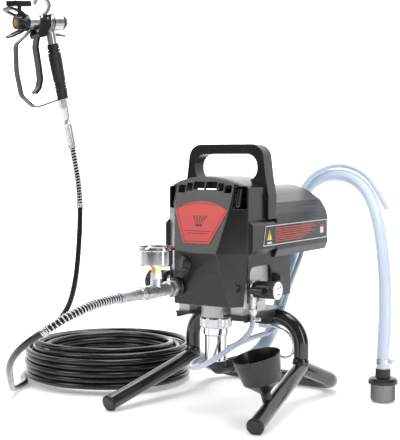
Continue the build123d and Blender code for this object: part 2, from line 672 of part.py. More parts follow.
KNOB_AXIS = Plane(origin=KNOB, x_dir=(0, 1, 0), z_dir=(-1, 0, 0))
with BuildPart() as pressure_sensor:
    turned(KNOB_AXIS, (4.05, -23), (11, -23), (12.4, -21), (12.4, -1), (4.05, -1))
write(pressure_sensor, "pressure_sensor")

with BuildPart() as pressure_knob:
    rod(KNOB_AXIS, 8, -21, 3)
    turned(KNOB_AXIS, (0, 0), (19, 0), (19, 34), (17, 38), (0, 39))
    flutes(KNOB_AXIS, 18, 39.6, 4, 4, 40)
    block((KNOB[0] - 42, KNOB[1] - 1, KNOB[2] + 8), (KNOB[0] - 37.5, KNOB[1] + 1, KNOB[2] + 17))
write(pressure_knob, "pressure_knob")

with BuildPart() as pressure_switch:
    block((HALF_WIDTH, 58, 208), (84, 73, 223))
    fillet(pressure_switch.edges().filter_by(Axis.X), 1.5)
    block((84, 62, 211), (86.5, 69, 220))
write(pressure_switch, "pressure_switch")

# --- outlet line and gauge ----------------------------------------------------------------

OUTLET = forward(OUTLET_X, OUTLET_Z)
with BuildPart() as filter_cap:
    turned(OUTLET, (5, 36), (15.5, 36), (15.5, 58), (14, 60), (5, 60))
write(filter_cap, "filter_cap")

with BuildPart() as outlet_fitting:
    rod(OUTLET, 14, 60, 86)
    hexagon(OUTLET, 24, 62, 70)
    rod(OUTLET, 21, 70, 73)
    hexagon(OUTLET, 22, 73, 84)
    rod(OUTLET, 9.8, 36, 86)
    rod(OUTLET, 5, 36, 87, mode=Mode.SUBTRACT)
write(outlet_fitting, "outlet_fitting")

TEE_TOP = Plane(origin=(OUTLET_X, TEE_Y, OUTLET_Z), x_dir=(1, 0, 0), z_dir=(0, 0, 1))
with BuildPart() as tee_fitting:
    turned(OUTLET, (0, 86), (8.5, 86), (10.5, 88), (10.5, 138), (8.5, 140), (0, 140))
    rod(TEE_TOP, 18, 0, 20)
    hexagon(TEE_TOP, 17, 20, 29)
write(tee_fitting, "tee_fitting")

with BuildPart() as gauge_stem:
    hexagon(TEE_TOP, 15, 29, GAUGE_Z - OUTLET_Z)
write(gauge_stem, "gauge_stem")

GAUGE = Plane(origin=(OUTLET_X, TEE_Y, GAUGE_Z), x_dir=(1, 0, 0), z_dir=(0, 0, 1))
with BuildPart() as gauge_case:
    turned(GAUGE, (0, 0), (24, 0), (26, 3), (26, 24), (30, 25.5), (30, 28.5), (28.6, 30.5), (27.2, 30.5),
           (27.2, 26), (24, 26), (24, 6), (0, 6))
write(gauge_case, "gauge_case")

with BuildPart() as gauge_dial:
    turned(GAUGE, (3, 22.4), (24, 22.4), (24, 23.4), (3, 23.4))
write(gauge_dial, "gauge_dial")

with BuildPart() as gauge_needle:
    turned(GAUGE, (0, 10), (2, 10), (2, 24), (3, 24), (3, 25.4), (0, 25.4))
    with BuildSketch(GAUGE.offset(24.2)):
        with BuildLine():
            Polyline((-16, -15), (2, -1.5), (5, 2), (1.5, 5), (-1.5, 2), close=True)
        make_face()
    extrude(amount=0.8)
write(gauge_needle, "gauge_needle")

with BuildPart() as gauge_lens:
    rod(GAUGE, 54.2, 26.4, 28.4)
write(gauge_lens, "gauge_lens")

with BuildPart() as hose_ferrule_pump:
    hexagon(OUTLET, 21, 140, 152)
    turned(OUTLET, (0, 152), (9.2, 152), (9.2, 156), (8.4, 158), (8.4, 206), (9, 208), (9, 212), (0, 212))
write(hose_ferrule_pump, "hose_ferrule_pump")


def spring_sleeve(route, radii):
    """Envelope of a spring guard over the start or end of a hose."""
    swept_bar(route, radii, GUARD_D, HOSE_D + 0.6)


with BuildPart() as spring_guard_pump:
    spring_sleeve(PUMP_ROUTE[:6], arc_radii(PUMP_ROUTE[:6]))
write(spring_guard_pump, "spring_guard_pump")

with BuildPart() as pressure_hose_pump:
    pump_radii = arc_radii(PUMP_ROUTE)
    swept_bar(PUMP_ROUTE, pump_radii, HOSE_D)
write(pressure_hose_pump, "pressure_hose_pump")

with BuildPart() as pressure_hose_coil:
    coil_plane = Plane(origin=(COIL_CENTRE[0], COIL_CENTRE[1], 0), x_dir=(1, 0, 0), z_dir=(0, 0, 1))
    turned(coil_plane, (COIL_INNER + 6, 0), (COIL_OUTER - 6, 0), (COIL_OUTER, 6),
           (COIL_OUTER, COIL_HEIGHT - 12), (COIL_OUTER - 12, COIL_HEIGHT), (COIL_INNER + 12, COIL_HEIGHT),
           (COIL_INNER, COIL_HEIGHT - 12), (COIL_INNER, 6))
write(pressure_hose_coil, "pressure_hose_coil")

with BuildPart() as pressure_hose_gun:
    gun_radii = arc_radii(GUN_ROUTE)
    swept_bar(GUN_ROUTE, gun_radii, HOSE_D)
write(pressure_hose_gun, "pressure_hose_gun")

with BuildPart() as spring_guard_gun:
    tail = list(reversed(GUN_ROUTE[-4:]))
    spring_sleeve(tail, arc_radii(tail))
write(spring_guard_gun, "spring_guard_gun")

# --- suction set --------------------------------------------------------------------------

with BuildPart() as suction_hose:
    suction_radii = arc_radii(SUCTION_ROUTE)
    swept_bar(SUCTION_ROUTE, suction_radii, SUCTION_D)
write(suction_hose, "suction_hose")

STRAINER_BASE = Plane(origin=(STRAINER[0], STRAINER[1], 0), x_dir=(1, 0, 0), z_dir=(0, 0, 1))
with BuildPart() as strainer_cap:
    turned(STRAINER_BASE, (0, 31), (25, 31), (25, 36), (22, 40), (13, 42), (13, 56), (0, 56))
write(strainer_cap, "strainer_cap")

with BuildPart() as strainer_mesh:
    turned(STRAINER_BASE, (0, 0), (17, 0), (20.3, 3), (20.3, 31), (18.8, 31), (18.8, 2), (0, 2))
write(strainer_mesh, "strainer_mesh")

with BuildPart() as return_tube:
    return_radii = arc_radii(RETURN_ROUTE)
    swept_bar(RETURN_ROUTE, return_radii, RETURN_D)
write(return_tube, "return_tube")

CUP = Plane(origin=(122, -48, 37), x_dir=(1, 0, 0), z_dir=(-0.17, -0.19, 0.967))
with BuildPart() as drip_cup:
    turned(CUP, (0, -4), (8, -4), (8, 11), (10, 15), (30.5, 33), (38.3, 73), (38.3, 74), (36.4, 74),
           (28.8, 34.2), (6, 17.5), (0, 17.5))
    rod(leg_plane, TUBE_D + 0.6, 30, 120, mode=Mode.SUBTRACT)
write(drip_cup, "drip_cup")

# --- spray gun ----------------------------------------------------------------------------

BARREL = Plane(origin=(0, 0, 0), x_dir=(0, 1, 0), z_dir=(1, 0, 0))
LOCK_PIVOT = (-16.8, -24.0)
TRIGGER_PIVOT = (11.0, 6.0)
GUN_SIDE = Plane(origin=(0, 0, 0), x_dir=(1, 0, 0), z_dir=(0, -1, 0))


def strip(points, radii, thickness, width):
    """Flat strip of metal or plastic that follows a bent line in the gun's middle plane."""
    with BuildSketch(GUN_SIDE, mode=Mode.PRIVATE) as outline:
        with BuildLine():
            FilletPolyline(*points, radius=radii)
        trace(line_width=thickness)
    extrude(outline.sketch, amount=width / 2, both=True)


with BuildPart() as gun_body:
    turned(BARREL, (0, -29), (13, -29), (16.5, -26), (16.5, -3), (14, -1), (14, 20), (11, 22), (11, 24),
           (13.8, 25), (13.8, 46), (8, 46), (8, 50), (0, 50))
    block((0, -13, -19), (24, 13, 8))
    rod(GRIP, 19, -41, -8)
    strip([(20, 8), (3, 19), (-5, 31), (-1, 43), (12, 47), (24, 43), (28, 34)], [9, 9, 8, 9, 8], 6, 6)
    for side in (-1, 1):
        ends = sorted([side * 2.1, side * 4.5])
        block((LOCK_PIVOT[0] - 3, ends[0], LOCK_PIVOT[1] - 3), (-8, ends[1], LOCK_PIVOT[1] + 3))
    rod(Plane(origin=(LOCK_PIVOT[0], 0, LOCK_PIVOT[1]), z_dir=(0, 1, 0)), 3, -4.5, 4.5)
    rod(Plane(origin=(TRIGGER_PIVOT[0], 0, TRIGGER_PIVOT[1]), z_dir=(0, 1, 0)), 5, -18.5, 18.5)
write(gun_body, "gun_body", GUN)

GRIP_SECTIONS = [(-41.2, 11.0, 9.5), (-62, 13.2, 11.2), (-100, 12.6, 10.8), (-132, 11.6, 10.2),
                 (-146, 10.6, 9.4)]
with BuildPart() as gun_handle:
    for height, deep, wide in GRIP_SECTIONS:
        with BuildSketch(GRIP.offset(height)):
            Ellipse(wide, deep)
    loft()
    for height in (-128, -122, -116, -52, -58):
        turned(GRIP.offset(height), (9.9, -0.9), (16, -0.9), (16, 0.9), (9.9, 0.9), mode=Mode.SUBTRACT)
    rod(GRIP, 8, -164, -146)
write(gun_handle, "gun_handle", GUN)

with BuildPart() as gun_trigger:
    for side in (-1, 1):
        with BuildSketch(GUN_SIDE.offset(side * 14.5), mode=Mode.PRIVATE) as cheek:
            with BuildLine():
                Polyline((3, 13), (19, 13), (25, -4), (34, -22), (32, -30), (18, -28), (4, -8), close=True)
            make_face()
            fillet(cheek.vertices(), 2)
        extrude(cheek.sketch, amount=side * 3)
    block((16, -14.5, -28), (32, 14.5, -23))
    strip([(27, -24), (33, -46), (30, -84), (29, -108), (34, -124), (44, -134)], [16, 60, 24, 16], 5, 18)
    rod(Plane(origin=(TRIGGER_PIVOT[0], 0, TRIGGER_PIVOT[1]), z_dir=(0, 1, 0)), 5 + 2 * RUN_FIT, -30, 30,
        mode=Mode.SUBTRACT)
write(gun_trigger, "gun_trigger", GUN)

with BuildPart() as trigger_guard:
    strip([(42, -15), (54, -26), (75, -41), (78, -92), (72, -138), (46, -162), (-7, -148.6)],
          [12, 14, 80, 20, 16], 2, 16)
    rod(GRIP, 24, -148, -146.2)
    rod(GRIP, 8.4, -160, -140, mode=Mode.SUBTRACT)
    rod(BARREL, 27.8, 20, 46, mode=Mode.SUBTRACT)
write(trigger_guard, "trigger_guard", GUN)

LOCK = Plane(origin=(LOCK_PIVOT[0], 0, LOCK_PIVOT[1]), z_dir=(0, 1, 0))
with BuildPart() as trigger_lock:
    rod(LOCK, 7, -1.8, 1.8)
    with BuildSketch(GUN_SIDE.offset(-1.8)):
        with BuildLine():
            Polyline((-16, -21), (-35, -24.5), (-35, -28), (-16, -27), close=True)
        make_face()
    extrude(amount=3.6)
    rod(LOCK, 3 + 2 * RUN_FIT, -3, 3, mode=Mode.SUBTRACT)
write(trigger_lock, "trigger_lock", GUN)

TIP_X = 60.0
WING_TILT = radians(24)
with BuildPart() as tip_guard:
    turned(BARREL, (8 + RUN_FIT, 46.4), (15.4, 46.4), (16, 47), (16, 55), (13, 57), (13, 71), (0, 71),
           (0, 50.5), (8 + RUN_FIT, 50.5))
    for side in (-1, 1):
        wing = Plane(origin=(50, 0, side * 10), x_dir=(cos(WING_TILT), 0, side * sin(WING_TILT)),
                     z_dir=(-side * sin(WING_TILT), 0, cos(WING_TILT)))
        with BuildSketch(wing.offset(-2), mode=Mode.PRIVATE) as loop:
            with BuildLine():
                Polyline((0, -11), (14, -21), (30, -22), (42, -14), (42, 14), (30, 22), (14, 21), (0, 11),
                         close=True)
            make_face()
            fillet(loop.vertices(), 6)
            with Locations((21, 0)):
                RectangleRounded(28, 27, 9, mode=Mode.SUBTRACT)
        extrude(loop.sketch, amount=4)
    rod(Plane(origin=(TIP_X, 0, 0), z_dir=(0, 0, 1)), 13 + 2 * RUN_FIT, -30, 30, mode=Mode.SUBTRACT)
    rod(BARREL, 12, TIP_X, 90, mode=Mode.SUBTRACT)
write(tip_guard, "tip_guard", GUN)

TIP = Plane(origin=(TIP_X, 0, 0), x_dir=(1, 0, 0), z_dir=(0, 0, 1))
with BuildPart() as spray_tip:
    rod(TIP, 13, -13, 17)
    rod(TIP, 8, 17, 31)
    with BuildSketch(TIP.offset(30)):
        with BuildLine():
            Polyline((-23, -6), (8, -6), (8, -8), (27, 0), (8, 8), (8, 6), (-23, 6), close=True)
        make_face()
    extrude(amount=10.5)
    fillet(spray_tip.edges().group_by(Axis.Z)[-1], 1.2)
    rod(BARREL, 3, 50, 90, mode=Mode.SUBTRACT)
write(spray_tip, "spray_tip", GUN)

with BuildPart() as hose_ferrule_gun:
    hexagon(GRIP, 19, -166, -148.3)
    turned(GRIP, (0, -246), (8.6, -246), (9, -244), (8.4, -241), (8.4, -202), (9, -199), (9, -197), (7, -195),
           (6, -190), (7.8, -168), (7.8, -166), (0, -166))
    rod(GRIP, 8 + 2 * RUN_FIT, -165, -140, mode=Mode.SUBTRACT)
write(hose_ferrule_gun, "hose_ferrule_gun", GUN)

for title, radii in (("pump", pump_radii), ("gun", gun_radii), ("suction", suction_radii),
                     ("return", return_radii)):
    print(title, "hose bend radii, mm:", [round(radius) for radius in radii])
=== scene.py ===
import json
from math import atan, cos, pi, radians, sin, tau

import bmesh
import bpy
from mathutils import Matrix, Vector


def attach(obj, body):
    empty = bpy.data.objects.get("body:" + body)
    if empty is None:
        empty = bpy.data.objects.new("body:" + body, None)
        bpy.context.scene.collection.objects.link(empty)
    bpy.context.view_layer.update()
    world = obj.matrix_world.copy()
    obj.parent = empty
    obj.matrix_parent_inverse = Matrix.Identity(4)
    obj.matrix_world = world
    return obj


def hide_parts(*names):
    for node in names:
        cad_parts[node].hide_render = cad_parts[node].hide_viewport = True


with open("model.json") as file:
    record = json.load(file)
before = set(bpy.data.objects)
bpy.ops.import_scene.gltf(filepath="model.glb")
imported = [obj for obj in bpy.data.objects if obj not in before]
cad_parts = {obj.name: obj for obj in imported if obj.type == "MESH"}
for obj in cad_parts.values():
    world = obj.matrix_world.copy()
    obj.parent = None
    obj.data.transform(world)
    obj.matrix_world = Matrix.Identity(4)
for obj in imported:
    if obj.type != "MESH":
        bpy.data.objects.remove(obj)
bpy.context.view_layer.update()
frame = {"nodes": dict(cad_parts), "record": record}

# Airless paint sprayer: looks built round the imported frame. Places and shapes are in the
# machine's own millimetres, and at() and MM turn them into the frame's metres.
MM = 0.001
FRAME_ORIGIN = Vector((-166.1275, 61.55, 0.0))
X, Y, Z = Vector((1, 0, 0)), Vector((0, 1, 0)), Vector((0, 0, 1))


def at(x, y, z):
    """A point in machine millimetres, in the frame's metres."""
    return (Vector((x, y, z)) - FRAME_ORIGIN) * MM


def basis(origin, z_axis, x_axis=X):
    """Matrix in metres whose local Z is z_axis and whose X is as near x_axis as it can be."""
    z_axis = Vector(z_axis).normalized()
    x_axis = Vector(x_axis)
    x_axis = (x_axis - z_axis * x_axis.dot(z_axis)).normalized()
    turned = Matrix((x_axis, z_axis.cross(x_axis), z_axis)).transposed()
    return Matrix.Translation(at(*origin)) @ turned.to_4x4()


# --- camera -------------------------------------------------------------------------------

CAMERA_PLACE = (846, -1404, 410)
CAMERA_AZIMUTH = radians(32)
CAMERA_PITCH = atan(0.06)

camera_data = bpy.data.cameras.new("camera")
camera_data.lens = 81.8
camera_data.sensor_width = 36
camera = bpy.data.objects.new("camera", camera_data)
bpy.context.scene.collection.objects.link(camera)
camera.location = at(*CAMERA_PLACE)
camera.rotation_euler = (pi / 2 - CAMERA_PITCH, 0, CAMERA_AZIMUTH)
bpy.context.scene.camera = camera

# --- materials ----------------------------------------------------------------------------


PATCH_DETAIL = 5
EDGE_SAMPLES = 4
# Where the edge lightening starts and where it is full: partly wear, partly a painted highlight along the
# edges.
WEAR_AND_HIGHLIGHT_STARTS, WEAR_AND_HIGHLIGHT_FULL = 0.985, 0.86  # cosines between the true and the rounded normal
RELIEF_DEPTH = 0.0003


def drifting(nodes, links, patchy, colour, tone):
    """The colour, drifting by tone either way from patch to patch."""
    blend = nodes.new("ShaderNodeMix")
    blend.data_type = "RGBA"
    blend.inputs["A"].default_value = (*[c * (1 - tone) for c in colour], 1)
    blend.inputs["B"].default_value = (*[min(1, c * (1 + tone)) for c in colour], 1)
    links.new(patchy, blend.inputs["Factor"])
    return blend.outputs["Result"]


def edge_worn_and_highlit(nodes, links, patchy, normal, shade, wear_and_highlight):
    """The shade, with a lighter colour painted in patches where an edge is rounded: partly wear, partly a
    painted highlight along the edges.
    """
    flat = nodes.new("ShaderNodeNewGeometry")
    facing = nodes.new("ShaderNodeVectorMath")
    facing.operation = "DOT_PRODUCT"
    links.new(normal, facing.inputs[0])
    links.new(flat.outputs["Normal"], facing.inputs[1])
    rubbed_and_highlit = nodes.new("ShaderNodeMapRange")
    rubbed_and_highlit.inputs["From Min"].default_value = WEAR_AND_HIGHLIGHT_STARTS
    rubbed_and_highlit.inputs["From Max"].default_value = WEAR_AND_HIGHLIGHT_FULL
    links.new(facing.outputs["Value"], rubbed_and_highlit.inputs["Value"])
    broken = nodes.new("ShaderNodeMath")
    broken.operation = "MULTIPLY"
    links.new(rubbed_and_highlit.outputs["Result"], broken.inputs[0])
    links.new(patchy, broken.inputs[1])
    worn_and_highlit = nodes.new("ShaderNodeMix")
    worn_and_highlit.data_type = "RGBA"
    links.new(broken.outputs["Value"], worn_and_highlit.inputs["Factor"])
    links.new(shade, worn_and_highlit.inputs["A"])
    worn_and_highlit.inputs["B"].default_value = (*wear_and_highlight, 1)
    return worn_and_highlit.outputs["Result"]


def in_relief(nodes, links, place, normal, relief, grain, cells):
    """The normal, with a fine grain or fine cells raised on it."""
    texture = nodes.new("ShaderNodeTexVoronoi" if cells else "ShaderNodeTexNoise")
    texture.inputs["Scale"].default_value = grain
    links.new(place, texture.inputs["Vector"])
    bump = nodes.new("ShaderNodeBump")
    bump.inputs["Strength"].default_value = relief
    bump.inputs["Distance"].default_value = RELIEF_DEPTH
    links.new(texture.outputs["Distance" if cells else "Fac"], bump.inputs["Height"])
    links.new(normal, bump.inputs["Normal"])
    return bump.outputs["Normal"]


def finish(name, colour, rough, spread=0.06, metallic=0.0, patch=40, tone=0.25, grain=900,
           relief=0.0, cells=False, wear_and_highlight=None, edge=0.0006, **sockets):
    """Procedural surface: patchy colour and roughness, a fine relief, rounded edges painted lighter in
    patches as wear and as a painted highlight.
    """
    made = bpy.data.materials.new(name)
    made.use_nodes = True
    nodes, links = made.node_tree.nodes, made.node_tree.links
    shader = nodes["Principled BSDF"]
    shader.inputs["Metallic"].default_value = metallic
    for socket, value in sockets.items():
        shader.inputs[socket.replace("_", " ").title().replace("Ior", "IOR")].default_value = value
    place = nodes.new("ShaderNodeTexCoord").outputs["Object"]

    patches = nodes.new("ShaderNodeTexNoise")
    patches.inputs["Scale"].default_value = patch
    patches.inputs["Detail"].default_value = PATCH_DETAIL
    links.new(place, patches.inputs["Vector"])
    patchy = patches.outputs["Fac"]
    shade = drifting(nodes, links, patchy, colour, tone)

    smear = nodes.new("ShaderNodeMapRange")
    smear.inputs["To Min"].default_value = max(0.02, rough - spread)
    smear.inputs["To Max"].default_value = min(1, rough + spread)
    links.new(patchy, smear.inputs["Value"])
    links.new(smear.outputs["Result"], shader.inputs["Roughness"])

    rounded = nodes.new("ShaderNodeBevel")
    rounded.samples = EDGE_SAMPLES
    rounded.inputs["Radius"].default_value = edge
    normal = rounded.outputs["Normal"]
    # Lighter edges: partly wear, partly a painted highlight along the rounded edges.
    if wear_and_highlight:
        shade = edge_worn_and_highlit(nodes, links, patchy, normal, shade, wear_and_highlight)
    links.new(shade, shader.inputs["Base Color"])
    if relief:
        normal = in_relief(nodes, links, place, normal, relief, grain, cells)
    links.new(normal, shader.inputs["Normal"])
    return made


def grey(value):
    """A very slightly cool grey."""
    return (value, value, value * 1.03)


FINISH = {
    "black_tube": finish("black_tube", grey(0.014), 0.2, relief=0.05, grain=260, wear_and_highlight=grey(0.1),
                         coat_weight=0.5, coat_roughness=0.12),
    "black_plate": finish("black_plate", grey(0.016), 0.34, relief=0.2, wear_and_highlight=grey(0.12)),
    # The housing's lighter edge colour is a painted highlight along its panel edges as well as wear.
    "housing_black": finish("housing_black", grey(0.013), 0.25, relief=0.05, grain=1500,
                            wear_and_highlight=grey(0.16), edge=0.0016, specular_ior_level=0.42),
    "black_plastic": finish("black_plastic", grey(0.013), 0.27, relief=0.08, wear_and_highlight=grey(0.09)),
    "black_rubber": finish("black_rubber", grey(0.012), 0.42, relief=0.25, grain=1300),
    "red_badge": finish("red_badge", (0.66, 0.04, 0.032), 0.42, tone=0.06, patch=14,
                        coat_weight=0.12, coat_roughness=0.12),
    "steel": finish("steel", grey(0.72), 0.27, metallic=0.85, tone=0.1, relief=0.1, patch=120),
    "chrome": finish("chrome", grey(0.68), 0.09, 0.04, metallic=1, tone=0.04),
    "cast_aluminium": finish("cast_aluminium", grey(0.62), 0.46, metallic=0.55, tone=0.08,
                             relief=0.35, grain=1100, cells=True, edge=0.0015),
    "gun_aluminium": finish("gun_aluminium", grey(0.56), 0.3, metallic=1, tone=0.1,
                            relief=0.15, grain=700),
    "dark_metal": finish("dark_metal", grey(0.05), 0.32, metallic=0.8, relief=0.15,
                         wear_and_highlight=grey(0.3)),
    "brass": finish("brass", (0.72, 0.47, 0.16), 0.22, metallic=1, tone=0.12),
    "white_plastic": finish("white_plastic", grey(0.86), 0.3, tone=0.03),
    "dial_face": finish("dial_face", grey(0.88), 0.5, tone=0.02),
    "needle_red": finish("needle_red", (0.45, 0.01, 0.01), 0.4, tone=0.1),
    "clear_lens": finish("clear_lens", grey(0.95), 0.03, 0.01, tone=0.02,
                         transmission_weight=1.0, ior=1.04),
    "hose_black": finish("hose_black", grey(0.014), 0.2, relief=0.06, grain=500, patch=60),
    "clear_braid": finish("clear_braid", (0.72, 0.84, 1.0), 0.16, tone=0.04, patch=25,
                          transmission_weight=0.12, ior=1.3, coat_weight=0.4),
    "clear_tube": finish("clear_tube", (0.78, 0.87, 1.0), 0.1, 0.04, tone=0.06, patch=30,
                         transmission_weight=0.3, ior=1.3, coat_weight=0.4),
    "mesh_steel": finish("mesh_steel", grey(0.33), 0.36, metallic=1, relief=0.4, grain=900,
                         cells=True),
    "copper_steel": finish("copper_steel", (0.3, 0.18, 0.12), 0.4, metallic=0.8),
}
SEAL = finish("amber_seal", (0.78, 0.3, 0.03), 0.3, tone=0.15, coat_weight=0.3)
SILVER_LINE = finish("silver_line", grey(0.75), 0.3, tone=0.05)
WARNING_YELLOW = finish("warning_yellow", (0.85, 0.66, 0.01), 0.35, tone=0.05)
PRINT_RED = finish("print_red", (0.5, 0.035, 0.02), 0.4, tone=0.12)
PRINT_DARK = finish("print_dark", (0.13, 0.012, 0.014), 0.4, tone=0.15)
PANEL_BLACK = finish("panel_black", grey(0.012), 0.22, tone=0.1)
BRAID_THREAD = finish("braid_thread", (0.96, 0.98, 1.0), 0.35, tone=0.03)
BORE_BLUE = finish("bore_blue", (0.5, 0.64, 0.95), 0.2, tone=0.2, patch=20)
MARK_BLACK = finish("mark_black", grey(0.01), 0.5, tone=0.1)

for entry in frame["record"]["subparts"]:
    node = frame["nodes"][entry["node"]]
    node.data.materials.clear()
    node.data.materials.append(FINISH[entry["material_slot"]])

# --- construction -------------------------------------------------------------------------


def settle(piece, surface, body, smooth=32):
    """Give a new piece its finish and the body that it rides on."""
    piece.data.materials.clear()
    piece.data.materials.append(surface)
    if piece.type == "MESH":
        piece.data.shade_smooth()
        piece.data.set_sharp_from_angle(angle=radians(smooth))
    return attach(piece, body)


def linked(name, data, place=None):
    """A new object in the scene, at place."""
    piece = bpy.data.objects.new(name, data)
    bpy.context.scene.collection.objects.link(piece)
    if place is not None:
        piece.matrix_world = place
    return piece


def from_bmesh(name, shape, place=None):
    """A new object from a bmesh, cleaned and with its faces turned outwards."""
    bmesh.ops.remove_doubles(shape, verts=shape.verts, dist=1e-7)
    bmesh.ops.recalc_face_normals(shape, faces=shape.faces)
    data = bpy.data.meshes.new(name)
    shape.to_mesh(data)
    shape.free()
    return linked(name, data, place)


def lathe(name, outline, place, steps=56, ribs=0, rib_depth=0.0):
    """Turned piece from closed (radius, height) points in millimetres, with optional grip ribs."""
    shape = bmesh.new()
    rings = []
    for step in range(steps):
        angle = tau * step / steps
        dip = rib_depth if ribs and cos(ribs * angle) < -0.2 else 0.0
        ring = []
        for radius, height in outline:
            reach = max(0.0, radius - dip) * MM
            ring.append(shape.verts.new((reach * cos(angle), reach * sin(angle), height * MM)))
        rings.append(ring)
    count = len(outline)
    for step in range(steps):
        here, there = rings[step], rings[(step + 1) % steps]
        for i in range(count):
            j = (i + 1) % count
            if outline[i][0] == 0 and outline[j][0] == 0:
                continue
            shape.faces.new((here[i], there[i], there[j], here[j]))
    bmesh.ops.dissolve_degenerate(shape, edges=shape.edges, dist=1e-8)
    return from_bmesh(name, shape, place)


def rectangle(left, low, right, high):
    """The four corners of an upright rectangle."""
    return [(left, low), (right, low), (right, high), (left, high)]


def plate(name, outline, place, thick, round_by=0.15):
    """Flat piece from a closed outline in millimetres, standing on the plane of place."""
    shape = bmesh.new()
    base = shape.faces.new([shape.verts.new((x * MM, y * MM, 0)) for x, y in outline])
    made = bmesh.ops.extrude_face_region(shape, geom=[base])
    top = [item for item in made["geom"] if isinstance(item, bmesh.types.BMVert)]
    bmesh.ops.translate(shape, verts=top, vec=(0, 0, thick * MM))
    edges = [e for e in shape.edges if all(v in top for v in e.verts)]
    bmesh.ops.bevel(shape, geom=edges, offset=round_by * MM, segments=2, affect="EDGES")
    return from_bmesh(name, shape, place)


def inset(outline, amount):
    """A closed outline moved inwards, its corners where the moved sides meet."""
    moved = []
    count = len(outline)
    onward = outline[1:] + outline[:1]
    turn = sum(x * next_y - next_x * y for (x, y), (next_x, next_y) in zip(outline, onward))
    side = 1 if turn > 0 else -1
    for i in range(count):
        before, here, after = (Vector(outline[(i + k) % count]) for k in (-1, 0, 1))
        run_in, run_out = (here - before).normalized(), (after - here).normalized()
        across_in = Vector((-run_in.y, run_in.x)) * side
        across_out = Vector((-run_out.y, run_out.x)) * side
        corner = (across_in + across_out).normalized()
        moved.append(tuple(here + corner * amount / max(0.2, corner.dot(across_in))))
    return moved


def outline_strip(name, outline, width, place, thick):
    """A line of even width that follows a closed outline."""
    inner = inset(outline, width)
    shape = bmesh.new()
    levels = []
    for height in (0, thick * MM):
        levels.append([[shape.verts.new((x * MM, y * MM, height)) for x, y in ring]
                       for ring in (outline, inner)])
    (low_out, low_in), (top_out, top_in) = levels
    count = len(outline)
    for i in range(count):
        j = (i + 1) % count
        for a, b in ((top_out, top_in), (low_in, low_out), (low_out, top_out), (top_in, low_in)):
            shape.faces.new((a[i], a[j], b[j], b[i]))
    return from_bmesh(name, shape, place)


def joined(name, parts):
    """One piece out of several."""
    bpy.context.view_layer.update()
    shape = bmesh.new()
    for part in parts:
        part.data.transform(part.matrix_world)
        shape.from_mesh(part.data)
        bpy.data.objects.remove(part)
    data = bpy.data.meshes.new(name)
    shape.to_mesh(data)
    shape.free()
    return linked(name, data)


def route_curve(name, points, diameter, round_steps=5, along=6):
    """Round cord on one open NURBS spline through its route's control points."""
    data = bpy.data.curves.new(name, "CURVE")
    data.dimensions = "3D"
    data.bevel_depth = diameter / 2
    data.bevel_resolution = round_steps
    data.resolution_u = along
    data.use_fill_caps = True
    spline = data.splines.new("NURBS")
    spline.points.add(len(points) - 1)
    for point, place in zip(spline.points, points):
        point.co = (*place, 1)
    spline.order_u = 3
    spline.use_endpoint_u = True
    return linked(name, data)


def centreline(curve):
    """Points along a curve's own line, read from the curve with no bevel."""
    bare = bpy.data.objects.new("bare", curve.data.copy())
    bare.data.bevel_depth = 0
    mesh = bpy.data.meshes.new_from_object(bare)
    line = [vertex.co.copy() for vertex in mesh.vertices]
    bpy.data.meshes.remove(mesh)
    bpy.data.curves.remove(bare.data)
    return line


def stretch(line, start, end, step):
    """Evenly spaced points and directions on a line, between two distances along it."""
    travelled = [0.0]
    for a, b in zip(line, line[1:]):
        travelled.append(travelled[-1] + (b - a).length)
    count = max(2, round((end - start) / step))
    found, run = [], 0
    for i in range(count + 1):
        distance = start + (end - start) * i / count
        while run < len(line) - 2 and travelled[run + 1] < distance:
            run += 1
        share = (distance - travelled[run]) / max(1e-9, travelled[run + 1] - travelled[run])
        found.append((line[run].lerp(line[run + 1], share), (line[run + 1] - line[run]).normalized()))
    return found


def length_of(line):
    """Length along a line's points."""
    return sum((b - a).length for a, b in zip(line, line[1:]))


def carried_frames(points):
    """Two directions across the line at each point, carried along it without twist."""
    across = points[0][1].orthogonal().normalized()
    frames = []
    for place, along in points:
        across = (across - along * across.dot(along)).normalized()
        frames.append((place, across, along.cross(across)))
    return frames


def wound(name, line, start, end, windings, wire, steps=14):
    """Wire wound round a line: each winding is (radius, lead, first angle, hand), in metres."""
    data = bpy.data.curves.new(name, "CURVE")
    data.dimensions = "3D"
    data.bevel_depth = wire / 2
    data.bevel_resolution = 1
    data.use_fill_caps = True
    for radius, lead, first, hand in windings:
        frames = carried_frames(stretch(line, start, end, lead / steps))
        spline = data.splines.new("POLY")
        spline.points.add(len(frames) - 1)
        for i, (place, u, v) in enumerate(frames):
            angle = first + hand * tau * i / steps
            spline.points[i].co = (*(place + (u * cos(angle) + v * sin(angle)) * radius), 1)
    return linked(name, data)


# --- pressure hose ------------------------------------------------------------------------

HOSE_D = 0.0105
PUMP_ROUTE = [
    (-42, -212, 204), (-42, -245, 204), (-42.5, -280, 200.5), (-44, -308, 195), (-52, -330, 186),
    (-68, -346, 173), (-92, -354, 157), (-118, -350, 139), (-146, -334, 119), (-174, -308, 98),
    (-205, -272, 77), (-243, -229, 55), (-286, -181, 34), (-328, -131, 17), (-360, -84, 7.5),
    (-379, -40, 5.6),
]
GUN_ROUTE = [
    (-429, 58, 76), (-423, 84, 85), (-415, 104.5, 103), (-408, 118, 127), (-404, 127, 156),
    (-402, 134, 192), (-402.5, 141, 236), (-404, 147.5, 284), (-407, 152, 323), (-411, 153.2, 360),
    (-414.9, 149.5, 397.2), (-417.6, 142.1, 434.4),
]
COIL_CENTRE = (-295, 93)
COIL_TURNS = 17.12
TURN_POINTS = 24
ENTRY_ANGLE = radians(237.7)
COLUMNS = ((5.6, 149.5), (11.2, 134.0), (COIL_TURNS, 118.0))  # last turn and radius of each
ROW_PITCH = 10.7
ROW_LOW = 5.6
ROW_HIGH = ROW_LOW + ROW_PITCH * COLUMNS[0][0]
